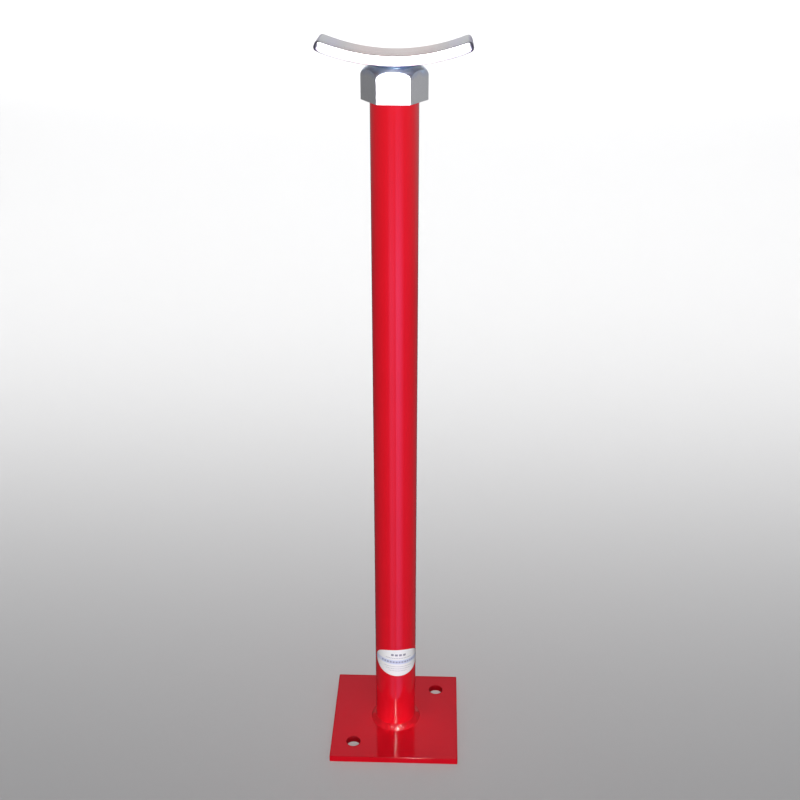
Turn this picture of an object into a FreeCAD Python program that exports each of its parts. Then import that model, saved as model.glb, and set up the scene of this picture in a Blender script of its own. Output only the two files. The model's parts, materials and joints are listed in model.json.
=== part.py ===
import FreeCAD, Part
import math
import os

# Adjustable pipe stand: a post welded to a square foot plate, with a curved saddle on a
# screw that is raised and lowered by a hex nut turning on the post's upper rim.
# Millimetres, +Z up, origin on the ground at the middle of the foot plate, saddle all the
# way down.

Vector = FreeCAD.Vector
INCH = 25.4

# Foot plate: a 6 in square of 5/16 in plate with two 5/8 in anchor holes on one diagonal.
PLATE_SIDE = 6.0 * INCH
PLATE_THICKNESS = 5.0 / 16.0 * INCH
PLATE_CORNER_RADIUS = 1.2
PLATE_EDGE_BREAK = 0.5
ANCHOR_HOLE_RADIUS = 5.0 / 16.0 * INCH
ANCHOR_CIRCLE_RADIUS = 5.5 * INCH / 2.0

# Post: 1-1/2 in schedule 40 pipe, 29-3/4 in long.
POST_OUTER_RADIUS = 48.26 / 2.0
POST_INNER_RADIUS = 40.89 / 2.0
POST_LENGTH = 29.75 * INCH
POST_EDGE_BREAK = 0.5

# Fillet weld round the post's foot.
BASE_WELD_LEG = 6.0
BASE_WELD_CROWN = 0.6

# Label: a 2-1/2 in by 1-1/2 in oval stuck on the front of the post, a little askew. Its
# middle is LABEL_OFFSET round the post from the front, towards +X.
LABEL_WIDTH = 2.5 * INCH
LABEL_HEIGHT = 1.5 * INCH
LABEL_MIDDLE_HEIGHT = 106.3
LABEL_OFFSET = 4.3
LABEL_TILT = math.radians(-3.8)
LABEL_THICKNESS = 0.15
LABEL_ADHESIVE = 0.02
LABEL_POINTS_PER_QUARTER = 9

# Thread: 1-1/2 in, 6 to the inch, right hand, with flanks at 30 degrees to the radius.
PITCH = INCH / 6.0
SCREW_RADIUS = 1.5 * INCH / 2.0
FLANK_ANGLE = math.radians(30.0)
THREAD_DEPTH = 0.6134 * PITCH
CREST_FLAT = PITCH / 8.0
THREAD_CLEARANCE = 0.3
RIDGE_SINK = 0.5

# Lifting screw: 60 turns of thread, 10 in long.
SCREW_TURNS = 60
SCREW_END_CHAMFER = 2.2

# Adjusting nut: 1-1/2 in finished hex, 2-1/4 in across flats. Its top is chamfered from
# NUT_TOP_RADIUS outwards, and the chamfer rolls over into the corners.
NUT_ACROSS_FLATS = 2.25 * INCH
NUT_HEIGHT = (1.0 + 9.0 / 32.0) * INCH
NUT_TOP_RADIUS = 24.6
NUT_CHAMFER_ANGLE = math.radians(30.0)
NUT_SHOULDER_RADIUS = 9.4
NUT_SHOULDER_OVERSIZE = 0.05
NUT_COUNTERSINK = 1.6
NUT_CORNER_RADIUS = 0.8
NUT_EDGE_RADIUS = 0.3

# Saddle: 2 in by 3/8 in flat bar bent to a 7-1/2 in inner radius. The chord is measured
# across the tips of the inner face.
SADDLE_WIDTH = 2.0 * INCH
SADDLE_THICKNESS = 3.0 / 8.0 * INCH
SADDLE_INNER_RADIUS = 7.5 * INCH
SADDLE_CHORD = 145.0
SADDLE_END_RADIUS = 3.5
SADDLE_EDGE_RADIUS = 0.9

# Fillet weld between the screw's top end and the saddle. Its lower rim comes down on the
# nut when the saddle is all the way down.
SADDLE_WELD_DEPTH = 2.1
SADDLE_WELD_REACH = 3.6
SADDLE_WELD_CROWN = 0.3
SADDLE_WELD_STOP_GAP = 0.2
SADDLE_WELD_THREAD_GAP = 0.05

# Heights that follow from the sizes above.
POST_BASE = PLATE_THICKNESS
POST_TOP = POST_BASE + POST_LENGTH
NUT_TOP = POST_TOP + NUT_HEIGHT
SADDLE_WELD_BOTTOM = NUT_TOP + SADDLE_WELD_STOP_GAP
SADDLE_UNDERSIDE = SADDLE_WELD_BOTTOM + SADDLE_WELD_DEPTH
SADDLE_BEND_CENTRE = SADDLE_UNDERSIDE + SADDLE_THICKNESS + SADDLE_INNER_RADIUS
SCREW_LENGTH = SCREW_TURNS * PITCH
SCREW_BOTTOM = SADDLE_UNDERSIDE - SCREW_LENGTH

Z_AXIS = Vector(0, 0, 1)
QUARTER_TURN = math.pi / 2.0


def around(radius, angle, height=0.0):
    """The point at a radius, an angle about +Z and a height."""
    return Vector(radius * math.cos(angle), radius * math.sin(angle), height)


def revolved(corners, arc_middle=None):
    """Solid turned about Z from a profile of (radius, height) corners.

    The last side, from the last corner back to the first, is straight, or an arc through
    arc_middle.
    """
    points = [Vector(radius, 0, height) for radius, height in corners]
    edges = [Part.makeLine(start, end) for start, end in zip(points, points[1:])]
    if arc_middle is None:
        edges.append(Part.makeLine(points[-1], points[0]))
    else:
        middle = Vector(arc_middle[0], 0, arc_middle[1])
        edges.append(Part.Arc(points[-1], middle, points[0]).toShape())
    return Part.Face(Part.Wire(edges)).revolve(Vector(0, 0, 0), Z_AXIS, 360)


def thread_ridge(crest_radius, turns):
    """Ridge of a right-hand thread: its profile swept along the helix, sunk into the core."""
    sunk_depth = THREAD_DEPTH + RIDGE_SINK
    foot_radius = crest_radius - sunk_depth
    half_crest = CREST_FLAT / 2.0
    half_foot = half_crest + sunk_depth * math.tan(FLANK_ANGLE)
    profile = Part.makePolygon([
        Vector(foot_radius, 0, -half_foot),
        Vector(crest_radius, 0, -half_crest),
        Vector(crest_radius, 0, half_crest),
        Vector(foot_radius, 0, half_foot),
        Vector(foot_radius, 0, -half_foot),
    ])
    cone_angle = 0
    helix = Part.makeLongHelix(PITCH, turns * PITCH, crest_radius, cone_angle)
    sweep = Part.BRepOffsetAPI.MakePipeShell(Part.Wire(helix.Edges))
    sweep.setBiNormalMode(Z_AXIS)
    sweep.add(profile)
    sweep.build()
    sweep.makeSolid()
    return sweep.shape()


def thread_turn(crest_radius):
    """One pitch of threaded rod standing on height 0, cut square at both ends."""
    core = Part.makeCylinder(crest_radius - THREAD_DEPTH, 3 * PITCH)
    rod = core.fuse(thread_ridge(crest_radius, 3))
    side = 3.0 * crest_radius
    middle_turn = Part.makeBox(side, side, PITCH, Vector(-side / 2.0, -side / 2.0, PITCH))
    return rod.common(middle_turn).translated(Vector(0, 0, -PITCH))


def threaded_rod(crest_radius, turns, bottom):
    """Rod of whole turns: the sides of one turn repeated, closed by that turn's two ends."""
    turn = thread_turn(crest_radius)
    sides = [face for face in turn.Faces if not isinstance(face.Surface, Part.Plane)]
    ends = [face for face in turn.Faces if isinstance(face.Surface, Part.Plane)]
    ends.sort(key=lambda face: face.CenterOfMass.z)
    last_turn = bottom + (turns - 1) * PITCH
    faces = [ends[0].translated(Vector(0, 0, bottom)), ends[1].translated(Vector(0, 0, last_turn))]
    for i in range(turns):
        up = Vector(0, 0, bottom + i * PITCH)
        faces.extend(side.translated(up) for side in sides)
    skin = Part.Compound(faces)
    skin.sewShape()
    return Part.Solid(skin.Shells[0])


def make_base_plate():
    """Square foot plate with two anchor holes at opposite corners."""
    half = PLATE_SIDE / 2.0
    plate = Part.makeBox(PLATE_SIDE, PLATE_SIDE, PLATE_THICKNESS, Vector(-half, -half, 0))
    upright = [edge for edge in plate.Edges if edge.BoundBox.ZLength > PLATE_THICKNESS / 2.0]
    plate = plate.makeFillet(PLATE_CORNER_RADIUS, upright)
    level = [edge for edge in plate.Edges if edge.BoundBox.ZLength < PLATE_THICKNESS / 2.0]
    plate = plate.makeChamfer(PLATE_EDGE_BREAK, level)
    for angle in (math.radians(45.0), math.radians(225.0)):
        centre = around(ANCHOR_CIRCLE_RADIUS, angle)
        plate = plate.cut(Part.makeCylinder(ANCHOR_HOLE_RADIUS, PLATE_THICKNESS, centre))
    return plate.Solids[0]


def make_post_tube():
    """Pipe standing on the plate, with its upper rim deburred."""
    return revolved([
        (POST_INNER_RADIUS, POST_BASE),
        (POST_OUTER_RADIUS, POST_BASE),
        (POST_OUTER_RADIUS, POST_TOP - POST_EDGE_BREAK),
        (POST_OUTER_RADIUS - POST_EDGE_BREAK, POST_TOP),
        (POST_INNER_RADIUS + POST_EDGE_BREAK, POST_TOP),
        (POST_INNER_RADIUS, POST_TOP - POST_EDGE_BREAK),
    ])


def make_base_weld():
    """Slightly convex fillet bead in the corner between the post and the plate."""
    upper_toe = (POST_OUTER_RADIUS, POST_BASE + BASE_WELD_LEG)
    corner = (POST_OUTER_RADIUS, POST_BASE)
    lower_toe = (POST_OUTER_RADIUS + BASE_WELD_LEG, POST_BASE)
    crown = BASE_WELD_LEG / 2.0 + BASE_WELD_CROWN
    crown_point = (POST_OUTER_RADIUS + crown, POST_BASE + crown)
    return revolved([upper_toe, corner, lower_toe], crown_point)


def label_point(radius, turn):
    """Point of the label's oval, rolled round the post onto the given radius."""
    along = LABEL_WIDTH / 2.0 * math.cos(turn)
    up = LABEL_HEIGHT / 2.0 * math.sin(turn)
    across = along * math.cos(LABEL_TILT) - up * math.sin(LABEL_TILT)
    height = along * math.sin(LABEL_TILT) + up * math.cos(LABEL_TILT)
    angle = 3.0 * QUARTER_TURN + (LABEL_OFFSET + across) / POST_OUTER_RADIUS
    return around(radius, angle, LABEL_MIDDLE_HEIGHT + height)


def label_quarter_edge(radius, quarter):
    """One quarter of the oval's outline on the given radius."""
    steps = LABEL_POINTS_PER_QUARTER - 1
    turns = [QUARTER_TURN * (quarter + i / steps) for i in range(steps + 1)]
    curve = Part.BSplineCurve()
    curve.interpolate([label_point(radius, turn) for turn in turns])
    return curve.toShape()


def make_label():
    """Thin oval cut out of a sleeve on the post by a radial band along its outline."""
    inner_radius = POST_OUTER_RADIUS + LABEL_ADHESIVE
    outer_radius = inner_radius + LABEL_THICKNESS
    overhang = 1.0
    band = []
    for quarter in range(4):
        inside = label_quarter_edge(inner_radius - overhang, quarter)
        outside = label_quarter_edge(outer_radius + overhang, quarter)
        band.append(Part.makeRuledSurface(inside, outside))
    foot = Vector(0, 0, LABEL_MIDDLE_HEIGHT - LABEL_HEIGHT)
    sleeve = Part.makeCylinder(outer_radius, 2.0 * LABEL_HEIGHT, foot)
    sleeve = sleeve.cut(Part.makeCylinder(inner_radius, 2.0 * LABEL_HEIGHT, foot))
    # The cylinders' seam goes to the back, clear of the label.
    sleeve.rotate(Vector(0, 0, 0), Z_AXIS, 90)
    pieces = sleeve.generalFuse([Part.makeShell(band)])[0].Solids
    return min(pieces, key=lambda piece: piece.Volume)


def nut_blank(radius):
    """Round blank whose chamfered top rolls over into its side."""
    shoulder_height = NUT_TOP - (radius - NUT_TOP_RADIUS) * math.tan(NUT_CHAMFER_ANGLE)
    blank = revolved([
        (0.0, POST_TOP),
        (radius, POST_TOP),
        (radius, shoulder_height),
        (NUT_TOP_RADIUS, NUT_TOP),
        (0.0, NUT_TOP),
    ])
    shoulder = [
        edge for edge in blank.Edges
        if edge.BoundBox.ZLength < NUT_SHOULDER_OVERSIZE
        and abs(edge.BoundBox.Center.z - shoulder_height) < NUT_SHOULDER_OVERSIZE
    ]
    return blank.makeFillet(NUT_SHOULDER_RADIUS, shoulder)


def make_adjusting_nut():
    """Chamfered hex nut with a right-hand thread, standing on the post's rim."""
    half_flats = NUT_ACROSS_FLATS / 2.0
    corner_radius = half_flats / math.cos(math.radians(30.0))
    hexagon = [around(corner_radius, math.radians(60.0 * i), POST_TOP) for i in range(7)]
    nut = Part.Face(Part.makePolygon(hexagon)).extrude(Vector(0, 0, NUT_HEIGHT))
    upright = [edge for edge in nut.Edges if edge.BoundBox.ZLength > NUT_HEIGHT / 2.0]
    nut = nut.makeFillet(NUT_CORNER_RADIUS, upright)
    nut = nut.common(nut_blank(corner_radius + NUT_SHOULDER_OVERSIZE))
    nut = nut.makeFillet(NUT_EDGE_RADIUS, nut.Edges)
    thread_radius = SCREW_RADIUS + THREAD_CLEARANCE
    for rim, inward in ((POST_TOP, 1.0), (NUT_TOP, -1.0)):
        mouth = (thread_radius + NUT_COUNTERSINK, rim)
        throat = (thread_radius - THREAD_DEPTH, rim + inward * (NUT_COUNTERSINK + THREAD_DEPTH))
        nut = nut.cut(revolved([(0.0, rim), mouth, throat, (0.0, throat[1])]))
    # The tap starts a whole number of turns up the screw, so the two threads are in step.
    turns_below = math.floor((POST_TOP - SCREW_BOTTOM) / PITCH)
    turns_through = math.ceil(NUT_HEIGHT / PITCH) + 1
    tap = threaded_rod(thread_radius, turns_through, SCREW_BOTTOM + turns_below * PITCH)
    return nut.cut(tap).Solids[0]


def make_lifting_screw():
    """Threaded rod from the saddle's underside down into the post, chamfered at its foot."""
    rod = threaded_rod(SCREW_RADIUS, SCREW_TURNS, SCREW_BOTTOM)
    blank = revolved([
        (0.0, SCREW_BOTTOM),
        (SCREW_RADIUS - SCREW_END_CHAMFER, SCREW_BOTTOM),
        (SCREW_RADIUS + PITCH, SCREW_BOTTOM + SCREW_END_CHAMFER + PITCH),
        (SCREW_RADIUS + PITCH, SADDLE_UNDERSIDE),
        (0.0, SADDLE_UNDERSIDE),
    ])
    return rod.common(blank).Solids[0]


def make_saddle():
    """Flat bar bent into an arc that opens upwards, with its two ends ground round."""
    half_angle = math.asin(SADDLE_CHORD / 2.0 / SADDLE_INNER_RADIUS)
    bend_centre = Vector(0, -SADDLE_WIDTH / 2.0, SADDLE_BEND_CENTRE)

    def arc_points(radius):
        angles = (-half_angle, 0.0, half_angle)
        return [bend_centre + Vector(radius * math.sin(a), 0, -radius * math.cos(a)) for a in angles]

    inner = arc_points(SADDLE_INNER_RADIUS)
    outer = arc_points(SADDLE_INNER_RADIUS + SADDLE_THICKNESS)
    outline = Part.Wire([
        Part.Arc(*inner).toShape(),
        Part.makeLine(inner[2], outer[2]),
        Part.Arc(*outer).toShape(),
        Part.makeLine(outer[0], inner[0]),
    ])
    bar = Part.Face(outline).extrude(Vector(0, SADDLE_WIDTH, 0))
    end_edges = [edge for edge in bar.Edges if edge.BoundBox.YLength > SADDLE_WIDTH / 2.0]
    bar = bar.makeFillet(SADDLE_END_RADIUS, end_edges)
    sides = [face for face in bar.Faces if face.BoundBox.YLength < SADDLE_EDGE_RADIUS]
    side_edges = [edge for face in sides for edge in face.Edges]
    return bar.makeFillet(SADDLE_EDGE_RADIUS, side_edges).Solids[0]


def make_saddle_weld():
    """Slightly convex fillet bead round the screw's top end, under the saddle."""
    inner_radius = SCREW_RADIUS + SADDLE_WELD_THREAD_GAP
    reach_radius = inner_radius + SADDLE_WELD_REACH
    bar_radius = SADDLE_INNER_RADIUS + SADDLE_THICKNESS
    rim_rise = bar_radius - math.sqrt(bar_radius**2 - reach_radius**2)
    above = SADDLE_UNDERSIDE + rim_rise
    crown_point = (
        inner_radius + SADDLE_WELD_REACH / 2.0 + SADDLE_WELD_CROWN,
        (SADDLE_WELD_BOTTOM + SADDLE_UNDERSIDE) / 2.0 - SADDLE_WELD_CROWN,
    )
    bead = revolved(
        [
            (reach_radius, SADDLE_UNDERSIDE),
            (reach_radius, above),
            (inner_radius, above),
            (inner_radius, SADDLE_WELD_BOTTOM),
        ],
        crown_point,
    )
    axis_start = Vector(0, -SADDLE_WIDTH / 2.0, SADDLE_BEND_CENTRE)
    bar = Part.makeCylinder(bar_radius, SADDLE_WIDTH, axis_start, Vector(0, 1, 0))
    return bead.cut(bar).Solids[0]


PARTS = {
    "base_plate": make_base_plate,
    "post_tube": make_post_tube,
    "base_weld": make_base_weld,
    "label": make_label,
    "adjusting_nut": make_adjusting_nut,
    "lifting_screw": make_lifting_screw,
    "saddle": make_saddle,
    "saddle_weld": make_saddle_weld,
}

os.makedirs("parts", exist_ok=True)
for name, make in PARTS.items():
    solid = make()
    solid.exportStep(os.path.join("parts", name + ".step"))
    print(name, solid.ShapeType, "valid", solid.isValid(), "mm3", round(solid.Volume, 1))
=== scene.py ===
import json
import math

import bmesh
import bpy
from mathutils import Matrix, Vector, noise


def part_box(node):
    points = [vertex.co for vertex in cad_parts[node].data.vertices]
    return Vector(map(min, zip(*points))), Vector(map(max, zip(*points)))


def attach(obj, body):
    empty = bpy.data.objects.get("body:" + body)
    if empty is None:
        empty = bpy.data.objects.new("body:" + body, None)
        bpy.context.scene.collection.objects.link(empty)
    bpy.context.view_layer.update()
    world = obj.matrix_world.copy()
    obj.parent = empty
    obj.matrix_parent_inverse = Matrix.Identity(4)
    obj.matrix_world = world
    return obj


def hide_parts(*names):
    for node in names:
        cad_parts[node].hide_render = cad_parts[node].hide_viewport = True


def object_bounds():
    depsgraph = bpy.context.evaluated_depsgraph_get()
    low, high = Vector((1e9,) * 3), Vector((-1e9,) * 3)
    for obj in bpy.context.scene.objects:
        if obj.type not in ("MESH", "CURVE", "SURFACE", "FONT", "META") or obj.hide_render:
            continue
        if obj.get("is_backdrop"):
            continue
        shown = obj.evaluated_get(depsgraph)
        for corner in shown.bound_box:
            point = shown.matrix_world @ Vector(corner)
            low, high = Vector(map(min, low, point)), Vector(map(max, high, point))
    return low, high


# Adjustable pipe stand. Metres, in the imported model's frame: +Z up, ground at 0, label
# facing -Y. Every red piece rides on "stand", the hex nut on "nut", and the screw with its
# saddle on "head".

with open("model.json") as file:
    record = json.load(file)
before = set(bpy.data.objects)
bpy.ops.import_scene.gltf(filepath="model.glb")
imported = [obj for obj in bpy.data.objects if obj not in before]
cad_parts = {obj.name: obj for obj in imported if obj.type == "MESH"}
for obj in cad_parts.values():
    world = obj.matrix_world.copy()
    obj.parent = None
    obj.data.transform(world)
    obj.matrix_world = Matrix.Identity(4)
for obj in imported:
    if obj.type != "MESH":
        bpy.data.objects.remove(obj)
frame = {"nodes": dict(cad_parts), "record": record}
cad_low, cad_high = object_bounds()

MM = 0.001
FULL_TURN = 2.0 * math.pi
QUARTER_TURN = math.pi / 2.0

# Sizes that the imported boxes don't give.
PLATE_CORNER_RADIUS = 1.2 * MM
PLATE_EDGE_RADIUS = 0.6 * MM
HOLE_RADIUS = 7.9375 * MM
HOLE_CIRCLE_RADIUS = 69.85 * MM
HOLE_ANGLES = (math.radians(45.0), math.radians(225.0))
POST_WALL = 3.683 * MM
POST_EDGE_RADIUS = 0.5 * MM
SADDLE_INNER_RADIUS = 190.5 * MM
SADDLE_CHORD = 144.98 * MM
SADDLE_EDGE_RADIUS = 0.9 * MM
SADDLE_END_RADIUS = 3.5 * MM
SADDLE_TIP_EDGE_RADIUS = 3.3 * MM
SADDLE_EDGE_STEPS = 7
LABEL_WIDTH = 63.5 * MM
LABEL_HEIGHT = 38.1 * MM
LABEL_OFFSET = 4.3 * MM
LABEL_TILT = math.radians(-3.8)
LABEL_THICKNESS = 0.15 * MM
LABEL_ADHESIVE = 0.02 * MM

# The saddle's long edges get rounder over this length at each tip, slowly at first.
SADDLE_TIP_REACH = 7.5 * MM
SADDLE_TIP_CURVE = 1.5

# A strip this wide beside each rounded edge keeps the shading of the flat beyond it flat.
EDGE_SUPPORT = 0.25 * MM

plate_low, plate_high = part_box("base_plate")
post_low, post_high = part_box("post_tube")
weld_low, weld_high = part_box("base_weld")
label_low, label_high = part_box("label")
nut_low, nut_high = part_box("adjusting_nut")
saddle_low, saddle_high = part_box("saddle")
saddle_weld_low, saddle_weld_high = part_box("saddle_weld")
POST_RADIUS = post_high.x
pipe_seat = next(mount for mount in frame["record"]["mounts"] if mount["name"] == "pipe_seat")
SEAT_HEIGHT = pipe_seat["pos_m"][2]


# ---------------------------------------------------------------- mesh helpers

def quarter_arc(radius, steps):
    """(inset, drop) along a rounded edge, from the side it meets first to the face above."""
    for i in range(steps + 1):
        turn = QUARTER_TURN * i / steps
        yield radius * (1.0 - math.cos(turn)), radius * (1.0 - math.sin(turn))


def slab_levels(low, high, edge_radius, steps=5):
    """(inset, height) up the side of a slab with rounded edges, lower face to upper face."""
    upper = [(0.0, high - edge_radius - EDGE_SUPPORT)]
    upper += [(inset, high - drop) for inset, drop in quarter_arc(edge_radius, steps)]
    upper.append((edge_radius + EDGE_SUPPORT, high))
    lower = [(inset, low + high - height) for inset, height in reversed(upper)]
    return lower + upper


def ring_faces(rings, closed_round=True):
    """Quads between rings of equal length, each ring closed on itself."""
    count = len(rings[0])
    pairs = list(zip(rings, rings[1:]))
    if closed_round:
        pairs.append((rings[-1], rings[0]))
    for ring, following in pairs:
        for i in range(count):
            j = (i + 1) % count
            yield ring[i], ring[j], following[j], following[i]


def closed_pairs(ring):
    """Each member of a ring with the next one, and the last with the first."""
    return list(zip(ring, ring[1:] + ring[:1]))


def make_piece(name, mesh_maker, materials, body, node):
    """Object from a bmesh filled by mesh_maker, standing for a CAD node on its body."""
    work = bmesh.new()
    mesh_maker(work)
    bmesh.ops.recalc_face_normals(work, faces=work.faces)
    for face in work.faces:
        face.smooth = True
    mesh = bpy.data.meshes.new(name)
    work.to_mesh(mesh)
    work.free()
    for material in materials:
        mesh.materials.append(material)
    piece = bpy.data.objects.new(name, mesh)
    bpy.context.scene.collection.objects.link(piece)
    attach(piece, body)
    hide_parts(node)


def turned(work, section, segments):
    """Closed ring round Z; section(angle) lists its closed outline as (radius, height)."""
    rings = []
    for k in range(segments):
        angle = FULL_TURN * k / segments
        across = Vector((math.cos(angle), math.sin(angle), 0.0))
        ring = [work.verts.new(across * r + Vector((0.0, 0.0, z))) for r, z in section(angle)]
        rings.append(ring)
    for corners in ring_faces(rings):
        work.faces.new(corners)


# ---------------------------------------------------------------- node helpers

def new_material(name):
    material = bpy.data.materials.new(name)
    material.use_nodes = True
    return material, material.node_tree, material.node_tree.nodes["Principled BSDF"]


def add(tree, kind, inputs, **settings):
    """New node, whose inputs are constants or other nodes' output sockets."""
    new = tree.nodes.new("ShaderNode" + kind)
    for key, value in settings.items():
        setattr(new, key, value)
    for key, value in inputs.items():
        if isinstance(value, bpy.types.NodeSocket):
            tree.links.new(value, new.inputs[key])
        else:
            new.inputs[key].default_value = value
    return new


def noise_at(tree, place, scale, detail=2.0, roughness=0.5):
    """Noise from 0 to 1 with about scale bumps to the metre."""
    inputs = {"Vector": place, "Scale": scale, "Detail": detail, "Roughness": roughness}
    return add(tree, "TexNoise", inputs).outputs["Fac"]


def remap(tree, value, low, high, new_low, new_high):
    """Value carried linearly from low..high to new_low..new_high, and held beyond them."""
    new = add(tree, "MapRange", {
        "Value": value,
        "From Min": low,
        "From Max": high,
        "To Min": new_low,
        "To Max": new_high,
    })
    return new.outputs["Result"]


def ramp(tree, value, stops):
    """Colour ramp with (position, colour) stops."""
    new = add(tree, "ValToRGB", {"Fac": value})
    elements = new.color_ramp.elements
    while len(elements) < len(stops):
        elements.new(1.0)
    for element, (position, colour) in zip(elements, stops):
        element.position = position
        element.color = (*colour, 1.0)
    return new.outputs["Color"]


def mix(tree, factor, first, second, blend="MIX"):
    """Two colours mixed or blended by factor."""
    new = tree.nodes.new("ShaderNodeMix")
    new.data_type = "RGBA"
    new.blend_type = blend
    factor_socket, first_socket, second_socket = (new.inputs[i] for i in (0, 6, 7))
    for socket, value in ((factor_socket, factor), (first_socket, first), (second_socket, second)):
        if isinstance(value, bpy.types.NodeSocket):
            tree.links.new(value, socket)
        else:
            socket.default_value = value if isinstance(value, float) else (*value, 1.0)
    return new.outputs[2]


def bump(tree, height, distance, normal=None):
    """Bump whose full height is distance, on top of an earlier one."""
    inputs = {"Height": height, "Distance": distance, "Strength": 1.0}
    if normal is not None:
        inputs["Normal"] = normal
    return add(tree, "Bump", inputs).outputs["Normal"]


# ---------------------------------------------------------------- materials

RED_DARKER = (0.71, 0.0048, 0.015)
RED_LIGHTER = (0.745, 0.0058, 0.0175)


def make_red_paint(name, depth=1.0, smoothest=0.04, roughest=0.075, shine=0.5, grit=0.0):
    """Gloss enamel: orange peel, slow waves, and slight changes of shade and gloss.

    depth scales its colour, and below 1 darkens it as painted shade; smoothest and roughest are its range of
    roughness, shine is its specular level, and grit is the height of the fine weld ripples under it.
    """
    material, tree, shader = new_material(name)
    place = add(tree, "TexCoord", {}).outputs["Object"]
    shade = noise_at(tree, place, 14.0, 4.0)
    darker = tuple(depth * value for value in RED_DARKER)
    lighter = tuple(depth * value for value in RED_LIGHTER)
    shader.inputs["IOR"].default_value = 1.50
    shader.inputs["Specular IOR Level"].default_value = shine
    tree.links.new(ramp(tree, shade, [(0.3, darker), (0.7, lighter)]), shader.inputs["Base Color"])
    gloss = noise_at(tree, place, 45.0, 3.0)
    tree.links.new(remap(tree, gloss, 0.3, 0.7, smoothest, roughest), shader.inputs["Roughness"])
    waves = bump(tree, noise_at(tree, place, 55.0, 1.0), 0.02 * MM)
    peel = bump(tree, noise_at(tree, place, 700.0, 1.0), 0.003 * MM, waves)
    if grit:
        peel = bump(tree, noise_at(tree, place, 430.0, 1.0), grit, peel)
    tree.links.new(peel, shader.inputs["Normal"])
    return material


def make_zinc(name, direction, spread, colours_and_painted_light):
    """Bright zinc plate: satin crystals, and colours that follow a distance: passivation hues,
    with painted shade and painted reflection where the caller lists them.

    The distance is how far a point lies along direction from the object's origin, on
    either side. colours_and_painted_light lists (distance, colour), and their edges wander by spread.
    """
    material, tree, shader = new_material(name)
    place = add(tree, "TexCoord", {}).outputs["Object"]
    shader.inputs["Metallic"].default_value = 1.0
    along = add(tree, "VectorMath", {0: place, 1: direction}, operation="DOT_PRODUCT").outputs["Value"]
    away = add(tree, "Math", {0: along}, operation="ABSOLUTE").outputs[0]
    wander = remap(tree, noise_at(tree, place, 90.0, 4.0), 0.3, 0.7, -spread, spread)
    away = add(tree, "Math", {0: away, 1: wander}, operation="ADD").outputs[0]
    nearest, farthest = colours_and_painted_light[0][0], colours_and_painted_light[-1][0]
    share = remap(tree, away, nearest, farthest, 0.0, 1.0)
    reach = farthest - nearest
    colour_and_painted_light = ramp(tree, share, [((at - nearest) / reach, colour) for at, colour in colours_and_painted_light])
    crystals = add(tree, "TexVoronoi", {"Vector": place, "Scale": 1400.0}).outputs["Color"]
    grain = remap(tree, crystals, 0.0, 1.0, 0.94, 1.03)
    tree.links.new(mix(tree, 1.0, colour_and_painted_light, grain, "MULTIPLY"), shader.inputs["Base Color"])
    smears = noise_at(tree, place, 60.0, 5.0, 0.6)
    tree.links.new(remap(tree, smears, 0.3, 0.75, 0.31, 0.38), shader.inputs["Roughness"])
    dents = bump(tree, noise_at(tree, place, 90.0, 2.0), 0.02 * MM)
    tree.links.new(bump(tree, noise_at(tree, place, 1600.0, 2.0), 0.004 * MM, dents), shader.inputs["Normal"])
    return material


# How much of each dash and the gap after it is ink, on the label.
DASH_SHARE = 0.68


def make_label_print(name):
    """White gloss vinyl with grey rows and a pale blue band; it spells nothing."""
    material, tree, shader = new_material(name)
    shader.inputs["Roughness"].default_value = 0.28
    shader.inputs["Coat Weight"].default_value = 1.0
    shader.inputs["Coat Roughness"].default_value = 0.1
    sheet = add(tree, "UVMap", {}, uv_map="print")
    split = add(tree, "SeparateXYZ", {"Vector": sheet.outputs["UV"]})
    across, up = split.outputs["X"], split.outputs["Y"]
    place = add(tree, "TexCoord", {}).outputs["Object"]

    def less_than(value, limit):
        return add(tree, "Math", {0: value, 1: limit}, operation="LESS_THAN").outputs[0]

    def maths(operation, first, second):
        return add(tree, "Math", {0: first, 1: second}, operation=operation).outputs[0]

    def distance_from(value, middle):
        return maths("ABSOLUTE", maths("SUBTRACT", value, middle), 0.0)

    def row(height, half_height, half_width, dashes):
        """1 inside a broken line of dashes at this height, else 0."""
        inside = maths("MULTIPLY", less_than(distance_from(up, height), half_height),
                       less_than(distance_from(across, 0.0), half_width))
        marks = maths("FRACT", maths("MULTIPLY", maths("ADD", across, 2.0), dashes), 0.0)
        return maths("MULTIPLY", inside, less_than(marks, DASH_SHARE))

    base = mix(tree, noise_at(tree, place, 120.0), (0.92, 0.93, 0.96), (0.96, 0.965, 0.985))
    band = less_than(distance_from(up, 0.06), 0.15)
    colour = mix(tree, band, base, (0.70, 0.76, 0.95))
    # Height, half height, half width, dashes and ink, in halves of the oval.
    rows = [
        (0.60, 0.075, 0.30, 6.5, (0.30, 0.31, 0.38)),
        (0.36, 0.025, 0.52, 16.0, (0.48, 0.50, 0.58)),
        (0.06, 0.060, 0.70, 9.0, (0.34, 0.36, 0.52)),
        (-0.28, 0.022, 0.56, 19.0, (0.52, 0.54, 0.62)),
        (-0.44, 0.022, 0.48, 15.0, (0.52, 0.54, 0.62)),
        (-0.60, 0.022, 0.36, 17.0, (0.52, 0.54, 0.62)),
    ]
    for height, half_height, half_width, dashes, ink in rows:
        colour = mix(tree, row(height, half_height, half_width, dashes), colour, ink)
    tree.links.new(colour, shader.inputs["Base Color"])
    creases = bump(tree, noise_at(tree, place, 160.0, 2.0), 0.02 * MM)
    tree.links.new(creases, shader.inputs["Normal"])
    return material


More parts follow.
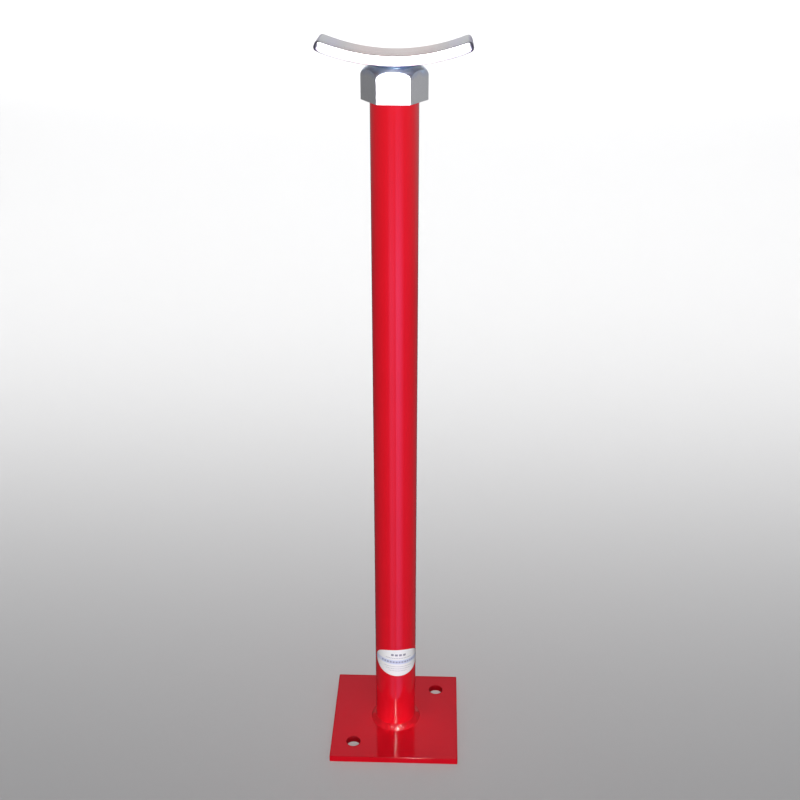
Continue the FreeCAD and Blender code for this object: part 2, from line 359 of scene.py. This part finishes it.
red_paint = make_red_paint("red_enamel")
# The plate's sides: the same enamel, darkened as painted shade.
side_paint_shaded = make_red_paint("red_enamel_side_shaded", 0.82, 0.10, 0.14, shine=0.02)
# The hole walls: the same enamel at half its colour, as painted shade in the recess.
hole_paint_shaded = make_red_paint("red_enamel_hole_shaded", 0.50, 0.10, 0.14, shine=0.02)
# The weld bead: the same enamel, a little darker as painted shade on its flash-lit slope.
bead_paint_shaded = make_red_paint("red_enamel_bead_shaded", 0.88, 0.11, 0.14, shine=0.35, grit=0.50 * MM)
# Pinkish passivation hues along the bar; the dark violet-grey values at the ground ends, from 69.5 mm out,
# are painted dark reflection on the rounded tips.
saddle_zinc = make_zinc("saddle_zinc", (1.0, 0.0, 0.0), 0.8 * MM, [
    (0.0, (0.87, 0.77, 0.74)),
    (0.030, (0.85, 0.73, 0.70)),
    (0.048, (0.69, 0.66, 0.66)),
    (0.058, (0.66, 0.64, 0.72)),
    (0.0695, (0.66, 0.68, 0.68)),
    (0.0712, (0.42, 0.40, 0.50)),
    (0.0725, (0.26, 0.25, 0.36)),
])
# Plain zinc up the nut's sides; the bluish lighter bands near the dome's top and on the saddle bead are
# painted reflection, and the darker band just above the nut is painted shade under the saddle.
nut_zinc = make_zinc("nut_zinc", (0.0, 0.0, 1.0), 2.5 * MM, [
    (nut_low.z, (0.74, 0.75, 0.76)),
    (nut_high.z - 0.010, (0.73, 0.74, 0.77)),
    (nut_high.z - 0.005, (0.62, 0.66, 0.78)),
    (nut_high.z - 0.002, (0.64, 0.76, 0.95)),
    (nut_high.z, (0.76, 0.90, 1.00)),
    (nut_high.z + 0.002, (0.42, 0.56, 0.88)),
    (saddle_weld_high.z, (0.68, 0.82, 1.00)),
])
label_print = make_label_print("printed_vinyl")


# ---------------------------------------------------------------- foot plate

# Places in the foot plate's list of materials. The sides and the hole walls take the enamel darkened as
# painted shade.
SHADED_SIDE_PAINT = 1
SHADED_HOLE_PAINT = 2


def rounded_square(half_side, corner_radius, steps=6):
    """Outline of a square with rounded corners, anticlockwise."""
    flat = half_side - corner_radius
    points = []
    for quarter in range(4):
        start = quarter * QUARTER_TURN
        diagonal = start + QUARTER_TURN / 2.0
        centre = flat * math.sqrt(2.0) * Vector((math.cos(diagonal), math.sin(diagonal)))
        for i in range(steps + 1):
            turn = start + QUARTER_TURN * i / steps
            points.append(centre + corner_radius * Vector((math.cos(turn), math.sin(turn))))
    return points


def hole_outline(centre_angle, radius, segments=96):
    """Circle round one anchor hole's centre."""
    centre = HOLE_CIRCLE_RADIUS * Vector((math.cos(centre_angle), math.sin(centre_angle)))
    turns = [FULL_TURN * i / segments for i in range(segments)]
    return [centre + radius * Vector((math.cos(turn), math.sin(turn))) for turn in turns]


def plate_mesh(work):
    """Plate with rounded corners, two drilled holes and softly broken edges."""
    levels = slab_levels(plate_low.z, plate_high.z, PLATE_EDGE_RADIUS)
    half_side = plate_high.x
    walls = [(lambda inset: rounded_square(half_side - inset, PLATE_CORNER_RADIUS - inset), SHADED_SIDE_PAINT)]
    for angle in HOLE_ANGLES:
        walls.append((lambda inset, angle=angle: hole_outline(angle, HOLE_RADIUS + inset), SHADED_HOLE_PAINT))
    lowest, highest = [], []
    for outline, paint in walls:
        rings = []
        for inset, height in levels:
            rings.append([work.verts.new((*point, height)) for point in outline(inset)])
        for corners in ring_faces(rings, closed_round=False):
            work.faces.new(corners).material_index = paint
        for rim, ring in ((lowest, rings[0]), (highest, rings[-1])):
            rim += [work.edges.get(ends) for ends in closed_pairs(ring)]
    for rim in (lowest, highest):
        bmesh.ops.triangle_fill(work, use_beauty=True, use_dissolve=False, edges=rim)


plate_paints = [red_paint, side_paint_shaded, hole_paint_shaded]
make_piece("foot_plate", plate_mesh, plate_paints, "stand", "base_plate")


# ---------------------------------------------------------------- post

POST_SEGMENTS = 256


def post_section(angle):
    """Outline of the pipe's wall, with rounded rims, which is the same all round."""
    inner = POST_RADIUS - POST_WALL
    levels = slab_levels(post_low.z, post_high.z, POST_EDGE_RADIUS, steps=4)
    outside = [(POST_RADIUS - inset, height) for inset, height in levels]
    inside = [(inner + inset, height) for inset, height in reversed(levels)]
    return outside + inside


def post_mesh(work):
    turned(work, post_section, POST_SEGMENTS)


make_piece("pipe_post", post_mesh, [red_paint], "stand", "post_tube")


# ---------------------------------------------------------------- weld beads

BEAD_STEPS = 14
BEAD_SINK = 0.4 * MM
BASE_BEAD_SEGMENTS = 900
BASE_BEAD_INSET = 0.3 * MM
BASE_BEAD_CROWN = 0.5 * MM
BASE_BEAD_LUMP = 0.7 * MM
BASE_BEAD_WAVER = 0.5 * MM
BASE_RIPPLE_PITCH = 2.9 * MM
BASE_RIPPLE_HEIGHT = 0.20 * MM
BASE_GRIT_HEIGHT = 0.14 * MM
SADDLE_BEAD_SEGMENTS = 720
SADDLE_RIPPLE_PITCH = 1.8 * MM
SADDLE_RIPPLE_HEIGHT = 0.22 * MM

# Where each half-circle of the base bead starts, and the widths of its lump and of the
# dip behind it, in radians.
BEAD_STARTS = (0.06, math.pi + 0.10)
LUMP_WIDTH = 0.13
DIP_WIDTH = 0.07
DIP_BEHIND = 0.24


def crescents(along, across, pitch):
    """Ripple of a weld pool, 0 to 1: steep ridges that trail back towards both toes."""
    wander = 0.18 * noise.noise(Vector((along / pitch * 0.6, across, 4.0)))
    phase = (along / pitch + 0.55 * across * across + wander) % 1.0
    return math.sin(math.pi * phase ** 1.6)


def bead_ends(angle):
    """Extra height where each half-circle bead starts and stops, at the two sides."""
    extra = 0.0
    for start in BEAD_STARTS:
        offset = (angle - start + math.pi) % FULL_TURN - math.pi
        extra += math.exp(-(offset / LUMP_WIDTH) ** 2)
        extra -= 0.7 * math.exp(-((offset + DIP_BEHIND) / DIP_WIDTH) ** 2)
    return extra


def base_bead_section(angle):
    """Outline of the fillet bead round the post's foot."""
    leg = weld_high.z - weld_low.z - BASE_BEAD_INSET
    waver = BASE_BEAD_WAVER * noise.noise(Vector((3.0 * math.cos(angle), 3.0 * math.sin(angle), 0.0)))
    toe_up = leg + waver
    toe_out = leg - waver
    crown = BASE_BEAD_CROWN + BASE_BEAD_LUMP * bead_ends(angle)
    points = []
    for i in range(BEAD_STEPS + 1):
        share = i / BEAD_STEPS
        across = 2.0 * share - 1.0
        body = math.sin(math.pi * share)
        ripple = crescents(POST_RADIUS * angle, across, BASE_RIPPLE_PITCH)
        grit = noise.noise(Vector((26.0 * angle, 3.0 * across, 7.0)))
        rough = BASE_RIPPLE_HEIGHT * (ripple - 0.5) + BASE_GRIT_HEIGHT * grit
        height = crown * body + rough * body ** 0.5
        out = toe_out * share + height * math.sqrt(0.5)
        up = toe_up * (1.0 - share) + height * math.sqrt(0.5)
        points.append((POST_RADIUS + out, weld_low.z + up))
    points.append((POST_RADIUS + toe_out, weld_low.z - BEAD_SINK))
    points.append((POST_RADIUS - BEAD_SINK, weld_low.z - BEAD_SINK))
    points.append((POST_RADIUS - BEAD_SINK, weld_low.z + toe_up))
    return points


def base_bead_mesh(work):
    turned(work, base_bead_section, BASE_BEAD_SEGMENTS)


make_piece("base_bead", base_bead_mesh, [bead_paint_shaded], "stand", "base_weld")

SADDLE_UNDERSIDE = saddle_low.z
SADDLE_THICKNESS = SEAT_HEIGHT - SADDLE_UNDERSIDE
SCREW_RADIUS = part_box("lifting_screw")[1].x
SCREW_CLEARANCE = 0.02 * MM


def underside_rise(x):
    """How far the saddle's underside has risen at this distance from the middle."""
    radius = SADDLE_INNER_RADIUS + SADDLE_THICKNESS
    return radius - math.sqrt(radius * radius - x * x)


def saddle_bead_section(angle):
    """Outline of the bead between the screw's top end and the saddle."""
    reach = saddle_weld_high.y
    inner = SCREW_RADIUS + SCREW_CLEARANCE
    drop = SADDLE_UNDERSIDE - saddle_weld_low.z
    points = []
    for i in range(BEAD_STEPS + 1):
        share = i / BEAD_STEPS
        across = 2.0 * share - 1.0
        body = math.sin(math.pi * share)
        ripple = crescents(SCREW_RADIUS * angle, across, SADDLE_RIPPLE_PITCH)
        radius = reach + (inner - reach) * share
        swell = SADDLE_RIPPLE_HEIGHT * body * ripple
        rise = underside_rise(radius * math.cos(angle)) * (1.0 - share)
        points.append((radius + swell * 0.5, SADDLE_UNDERSIDE - drop * share + rise - swell * 0.5))
    top = SADDLE_UNDERSIDE + underside_rise(inner * math.cos(angle)) + BEAD_SINK
    points.append((inner, top))
    points.append((reach, SADDLE_UNDERSIDE + underside_rise(reach * math.cos(angle)) + BEAD_SINK))
    return points


def saddle_bead_mesh(work):
    turned(work, saddle_bead_section, SADDLE_BEAD_SEGMENTS)


make_piece("saddle_bead", saddle_bead_mesh, [nut_zinc], "head", "saddle_weld")


# ---------------------------------------------------------------- saddle

BEND_CENTRE_HEIGHT = SEAT_HEIGHT + SADDLE_INNER_RADIUS


def saddle_outline(half_length, corner_steps=8, runs=72):
    """The bar's long section before bending, as pairs of (along, depth) and outward normal."""
    end = half_length - SADDLE_END_RADIUS
    corner = []
    for i in range(corner_steps + 1):
        turn = QUARTER_TURN * i / corner_steps
        outward = Vector((math.cos(turn), -math.sin(turn)))
        corner.append((Vector((end, SADDLE_END_RADIUS)) + SADDLE_END_RADIUS * outward, outward))
    inner = list(corner)
    for i in range(1, runs):
        inner.append((Vector((end * (1.0 - 2.0 * i / runs), 0.0)), Vector((0.0, -1.0))))
    for at, outward in reversed(corner):
        inner.append((Vector((-at.x, at.y)), Vector((-outward.x, outward.y))))
    outer = []
    for at, outward in reversed(inner):
        outer.append((Vector((at.x, SADDLE_THICKNESS - at.y)), Vector((outward.x, -outward.y))))
    return inner + outer


def saddle_edge_radius(from_tip):
    """Rounding of the long edges at this distance along the bar from its tip."""
    share = min(max(0.0, 1.0 - from_tip / SADDLE_TIP_REACH), 1.0)
    extra = SADDLE_TIP_EDGE_RADIUS - SADDLE_EDGE_RADIUS
    return SADDLE_EDGE_RADIUS + extra * share ** SADDLE_TIP_CURVE


def saddle_mesh(work):
    """Flat bar bent upwards, its two ends ground round and its long edges softened."""
    middle_radius = SADDLE_INNER_RADIUS + SADDLE_THICKNESS / 2.0
    half_length = middle_radius * math.asin(SADDLE_CHORD / 2.0 / SADDLE_INNER_RADIUS)
    outline = saddle_outline(half_length)
    back_edge = [(1.0, shrink, drop) for shrink, drop in quarter_arc(1.0, SADDLE_EDGE_STEPS)]
    front_edge = [(-1.0, shrink, drop) for side, shrink, drop in reversed(back_edge)]
    rings = []
    for side, shrink, drop in front_edge + back_edge:
        ring = []
        for at, outward in outline:
            edge = saddle_edge_radius(half_length - abs(at.x))
            place = at - outward * edge * shrink
            across = side * (saddle_high.y - edge * drop)
            angle = place.x / middle_radius
            radius = SADDLE_INNER_RADIUS + place.y
            height = BEND_CENTRE_HEIGHT - radius * math.cos(angle)
            ring.append(work.verts.new((radius * math.sin(angle), across, height)))
        rings.append(ring)
    for corners in ring_faces(rings, closed_round=False):
        work.faces.new(corners)
    for ring in (rings[0], rings[-1]):
        for i in range(len(ring) // 2 - 1):
            work.faces.new((ring[i], ring[i + 1], ring[-i - 2], ring[-i - 1]))


make_piece("saddle_bar", saddle_mesh, [saddle_zinc], "head", "saddle")


# ---------------------------------------------------------------- label

LABEL_RINGS = 24
LABEL_SEGMENTS = 128
LABEL_EDGE = 0.10 * MM


def label_point(share, turn, lift):
    """Point of the oval rolled round the post, at a share of the way from middle to rim."""
    along = share * LABEL_WIDTH / 2.0 * math.cos(turn)
    up = share * LABEL_HEIGHT / 2.0 * math.sin(turn)
    across = along * math.cos(LABEL_TILT) - up * math.sin(LABEL_TILT)
    height = along * math.sin(LABEL_TILT) + up * math.cos(LABEL_TILT)
    angle = 3.0 * QUARTER_TURN + (LABEL_OFFSET + across) / POST_RADIUS
    radius = POST_RADIUS + lift
    middle = (label_low.z + label_high.z) / 2.0
    return Vector((radius * math.cos(angle), radius * math.sin(angle), middle + height))


def label_mesh(work):
    """Thin oval of vinyl lying on the post, its rim rolled down onto the paint."""
    sheet = work.loops.layers.uv.new("print")
    places = {}

    def vert(share, turn, lift):
        new = work.verts.new(label_point(share, turn, lift))
        places[new] = (share * math.cos(turn), share * math.sin(turn))
        return new

    lift = LABEL_ADHESIVE + LABEL_THICKNESS
    rim = 1.0 - 2.0 * LABEL_EDGE / LABEL_HEIGHT
    levels = [(rim * i / LABEL_RINGS, lift) for i in range(1, LABEL_RINGS + 1)]
    levels.append((1.0 - 0.3 * (1.0 - rim), lift - 0.3 * LABEL_THICKNESS))
    levels.append((1.0, lift - LABEL_THICKNESS))
    levels.append((1.0, 0.0))
    turns = [FULL_TURN * k / LABEL_SEGMENTS for k in range(LABEL_SEGMENTS)]
    rings = [[vert(share, turn, height) for turn in turns] for share, height in levels]
    centre = vert(0.0, 0.0, lift)
    for corners in ring_faces(rings, closed_round=False):
        work.faces.new(corners)
    for start, end in closed_pairs(rings[0]):
        work.faces.new((centre, start, end))
    for face in work.faces:
        for loop in face.loops:
            loop[sheet].uv = places[loop.vert]


make_piece("sticker", label_mesh, [label_print], "stand", "label")


# ---------------------------------------------------------------- kept CAD pieces

for name in ("adjusting_nut", "lifting_screw"):
    for material_slot in frame["nodes"][name].material_slots:
        material_slot.material = nut_zinc


# ---------------------------------------------------------------- stage, light and camera

FLOOR_REACH = 60.0
FLOOR_GAP = 0.1 * MM


def make_floor():
    """Plain pale floor, large enough to fill the view, that the gloss doesn't show."""
    material, tree, shader = new_material("pale_floor")
    shader.inputs["Base Color"].default_value = (0.60, 0.60, 0.60, 1.0)
    shader.inputs["Roughness"].default_value = 0.9
    shader.inputs["Specular IOR Level"].default_value = 0.1
    mesh = bpy.data.meshes.new("floor")
    signs = ((-1.0, -1.0), (1.0, -1.0), (1.0, 1.0), (-1.0, 1.0))
    mesh.from_pydata([(FLOOR_REACH * x, FLOOR_REACH * y, 0.0) for x, y in signs], [], [(0, 1, 2, 3)])
    mesh.materials.append(material)
    floor = bpy.data.objects.new("floor", mesh)
    floor.location.z = cad_low.z - FLOOR_GAP
    floor.visible_glossy = False
    bpy.context.scene.collection.objects.link(floor)
    floor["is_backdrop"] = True
    return floor


def make_world():
    """Dim room with a bright backdrop towards +Y, and what the gloss shows below the horizon."""
    world = bpy.data.worlds.new("studio")
    world.use_nodes = True
    tree = world.node_tree
    direction = add(tree, "TexCoord", {}).outputs["Generated"]
    parts = add(tree, "SeparateXYZ", {"Vector": direction}).outputs

    # Bearings: 0 is the front (-Y) and a quarter turn the right (+X).
    forward = add(tree, "Math", {0: 0.0, 1: parts["Y"]}, operation="SUBTRACT").outputs[0]
    bearing = add(tree, "Math", {0: parts["X"], 1: forward}, operation="ARCTAN2").outputs[0]
    away = add(tree, "Math", {0: bearing}, operation="ABSOLUTE").outputs[0]

    def all_round(stops):
        """Colours by bearing in degrees."""
        turn = remap(tree, bearing, -math.pi, math.pi, 0.0, 1.0)
        return ramp(tree, turn, [((angle + 180.0) / 360.0, colour) for angle, colour in stops])

    room = ramp(tree, parts["Z"], [(0.0, (0.15, 0.15, 0.155)), (1.0, (0.13, 0.13, 0.135))])
    backdrop = ramp(tree, parts["Z"], [
        (0.0, (0.86, 0.86, 0.87)),
        (0.32, (0.80, 0.80, 0.81)),
        (0.50, (0.40, 0.40, 0.46)),
        (0.75, (0.26, 0.26, 0.31)),
        (1.0, (0.09, 0.09, 0.095)),
    ])
    behind = remap(tree, away, math.radians(142.0), math.radians(158.0), 0.0, 1.0)
    above = mix(tree, behind, room, backdrop)
    level = all_round([
        (-180.0, (0.50, 0.50, 0.51)),
        (-140.0, (0.32, 0.32, 0.325)),
        (-60.0, (0.18, 0.18, 0.185)),
        (60.0, (0.26, 0.26, 0.265)),
        (115.0, (0.62, 0.62, 0.63)),
        (180.0, (0.50, 0.50, 0.51)),
    ])
    low = all_round([
        (-180.0, (0.08, 0.08, 0.09)),
        (-50.0, (0.09, 0.09, 0.10)),
        (-32.0, (0.23, 0.12, 0.27)),
        (-20.0, (1.02, 0.62, 1.25)),
        (-3.0, (0.94, 0.53, 1.09)),
        (3.5, (0.47, 0.28, 0.62)),
        (8.0, (1.41, 0.86, 1.95)),
        (12.0, (1.41, 0.88, 2.03)),
        (26.0, (1.33, 0.77, 1.91)),
        (48.0, (0.23, 0.14, 0.28)),
        (90.0, (0.14, 0.14, 0.15)),
        (135.0, (0.19, 0.19, 0.20)),
        (180.0, (0.08, 0.08, 0.09)),
    ])
    low = mix(tree, remap(tree, parts["Z"], -0.60, -0.34, 0.48, 0.0), low, (0.05, 0.05, 0.055))
    below = mix(tree, remap(tree, parts["Z"], -0.34, -0.14, 1.0, 0.0), level, low)
    colour = mix(tree, remap(tree, parts["Z"], -0.05, 0.03, 1.0, 0.0), above, below)
    tree.links.new(colour, tree.nodes["Background"].inputs["Color"])
    bpy.context.scene.world = world


def group_of(name, members):
    """Collection outside the scene, only to say what a light falls on."""
    group = bpy.data.collections.new(name)
    for member in members:
        group.objects.link(member)
    return group


def soft_light(name, place, target, width, height, radiance, falls_on, in_gloss=False, in_diffuse=True):
    """Rectangular light facing its target, and falling on one group only.

    radiance is what a mirror would show of it, if it is in the gloss.
    """
    lamp = bpy.data.lights.new(name, "AREA")
    lamp.shape = "RECTANGLE"
    lamp.size = width
    lamp.size_y = height
    lamp.energy = radiance * math.pi * width * height
    light = bpy.data.objects.new(name, lamp)
    light.location = place
    light.rotation_euler = (Vector(target) - Vector(place)).to_track_quat("-Z", "Y").to_euler()
    light.visible_camera = False
    light.visible_glossy = in_gloss
    light.visible_diffuse = in_diffuse
    light.light_linking.receiver_collection = falls_on
    light.light_linking.blocker_collection = falls_on
    bpy.context.scene.collection.objects.link(light)


def make_camera():
    """Camera in front, a little right of the middle and looking down on the stand."""
    lens = bpy.data.cameras.new("camera")
    lens.lens = 51.84
    lens.sensor_width = 36.0
    camera = bpy.data.objects.new("camera", lens)
    camera.location = (0.0440, -1.1308, 0.9770)
    camera.rotation_euler = (math.radians(64.7), 0.0, math.radians(1.96))
    bpy.context.scene.collection.objects.link(camera)
    bpy.context.scene.camera = camera
    return camera


floor = make_floor()
make_world()
camera = make_camera()
middle = (0.0, 0.0, 0.45)
backdrop = group_of("backdrop", [floor])
pieces = [piece for piece in bpy.context.scene.objects if piece.type == "MESH" and piece != floor]
painted_names = ("foot_plate", "pipe_post")
welded_names = ("base_bead",)
plated_names = ("adjusting_nut", "lifting_screw", "saddle", "saddle_weld", "saddle_bar", "saddle_bead")
plated = group_of("plated_pieces", [piece for piece in pieces if piece.name in plated_names])
painted = group_of("painted_pieces", [piece for piece in pieces if piece.name in painted_names])
welded = group_of("base_weld_pieces", [piece for piece in pieces if piece.name in welded_names])
stand = group_of("all_pieces", pieces)

# The flash at the camera lights the colour of every piece, and a glint beside it the gloss
# of each kind of surface.
eye = camera.location
gloss_only = {"in_gloss": True, "in_diffuse": False}
soft_light("flash", eye, middle, 0.05, 0.04, 1300.0, stand)
soft_light("paint_glint", eye, middle, 0.03, 0.12, 26000.0, painted, **gloss_only)
soft_light("weld_glint", eye, middle, 0.04, 0.04, 7000.0, welded, **gloss_only)
soft_light("zinc_glint", eye, middle, 0.05, 0.14, 2000.0, plated, **gloss_only)
soft_light("key_panel", (1.4, -3.7, 0.60), (0.0, 0.0, 0.40), 2.4, 0.8, 7.4, stand)
soft_light("fill_panel", (-1.4, -3.7, 0.60), (0.0, 0.0, 0.40), 2.4, 0.8, 3.4, stand)
soft_light("back_panel", (0.0, 1.5, 2.1), (0.0, 0.0, 0.3), 1.6, 1.2, 0.6, stand)
soft_light("back_fill", (0.0, 3.4, 0.7), (0.0, 0.0, 0.4), 2.4, 0.8, 5.0, stand)
soft_light("floor_light", (0.0, 2.50, 0.76), (0.0, 2.50, 0.0), 6.0, 4.0, 1.50, backdrop)
soft_light("far_floor_light", (0.0, 9.50, 0.76), (0.0, 9.50, 0.0), 14.0, 10.0, 1.90, backdrop)
soft_light("near_floor_light", (0.0, 0.0, 3.0), (0.0, 0.0, 0.0), 3.0, 3.0, 0.49, backdrop)

bpy.context.scene.view_settings.view_transform = "Standard"

# Every light gets the same share of the samples, so the strong glints don't starve the flash.
bpy.context.scene.cycles.use_light_tree = False

boxes = {"cad": [cad_low, cad_high], "visual": list(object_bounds())}
{name: [list(corner) for corner in box] for name, box in boxes.items()}
